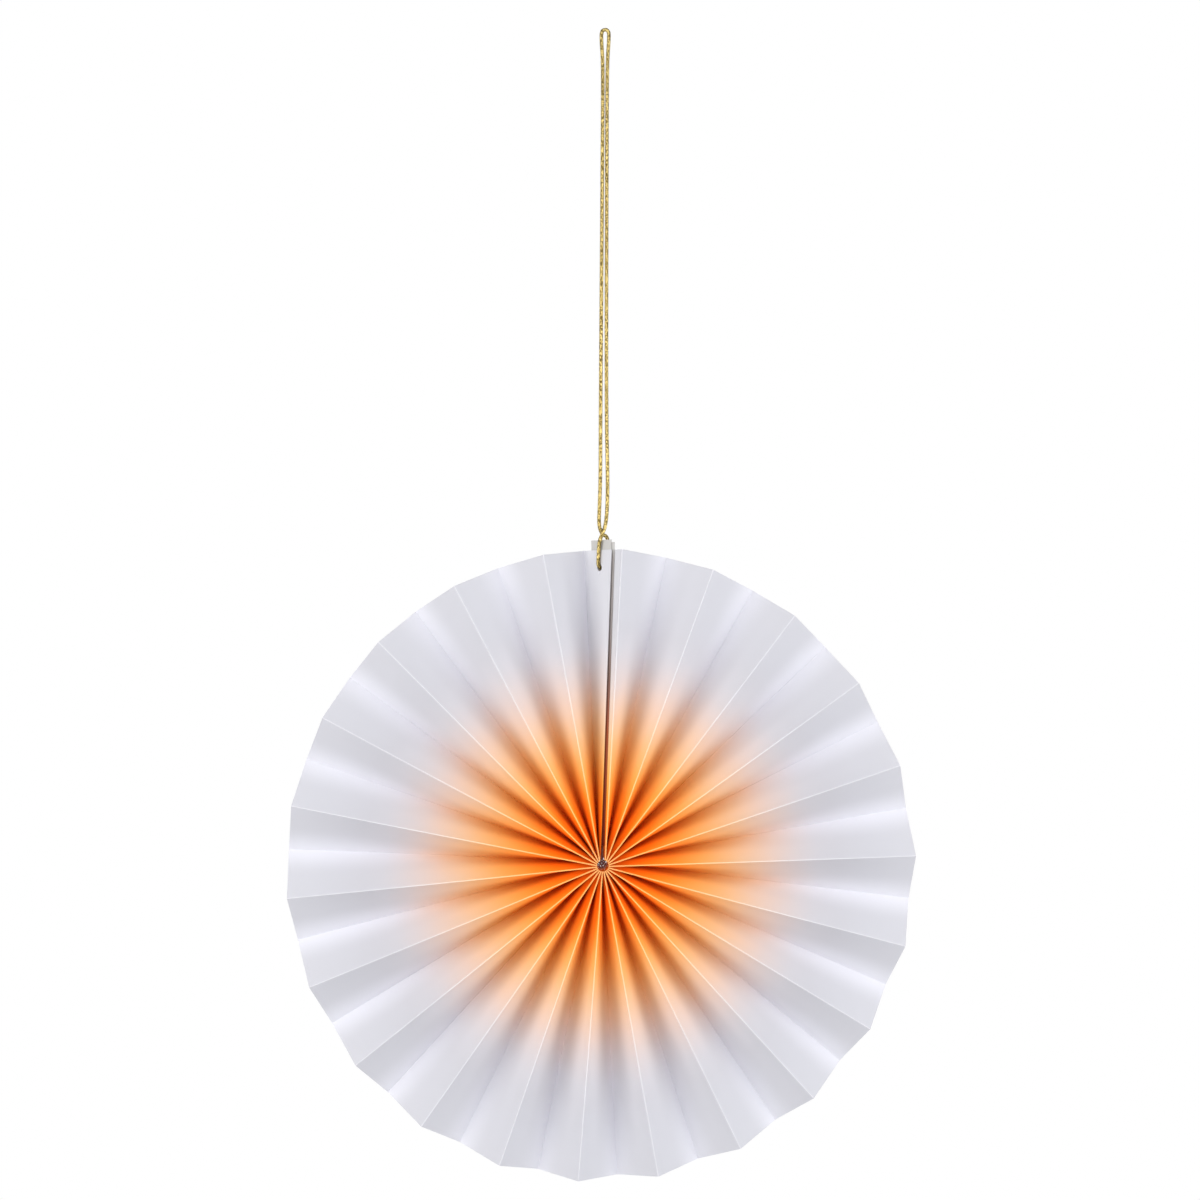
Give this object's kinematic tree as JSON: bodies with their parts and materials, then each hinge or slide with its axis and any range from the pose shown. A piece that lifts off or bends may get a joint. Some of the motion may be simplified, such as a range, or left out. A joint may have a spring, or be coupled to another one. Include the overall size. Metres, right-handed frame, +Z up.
{
  "type": "hanging paper fan rosette",
  "caption": "Accordion-pleated paper sheet opened into a full disc, with stiff end strips at the top seam and a braided cord loop through them to hang it by.",
  "frame": {"origin": "where the cord loop bears on the hook, pin or branch it hangs from, straight above the hub", "axes": "+X to the right and +Z up as seen from the front, +Y away from the viewer, so the printed front faces -Y"},
  "size_m": [0.2499, 0.0223, 0.4602],
  "materials": {
    "printed_paper": "matte paper, white outside running to orange at the middle, with pale fold lines",
    "card": "uncoated grey-white card",
    "thread": "twisted white thread",
    "cord": "braided cord with a metallic gold sheen"
  },
  "bodies": {
    "root": {"pleated_paper": "printed_paper", "left_end_card": "card", "right_end_card": "card", "hub_thread": "thread", "hanging_cord": "cord"}
  },
  "joints": []
}
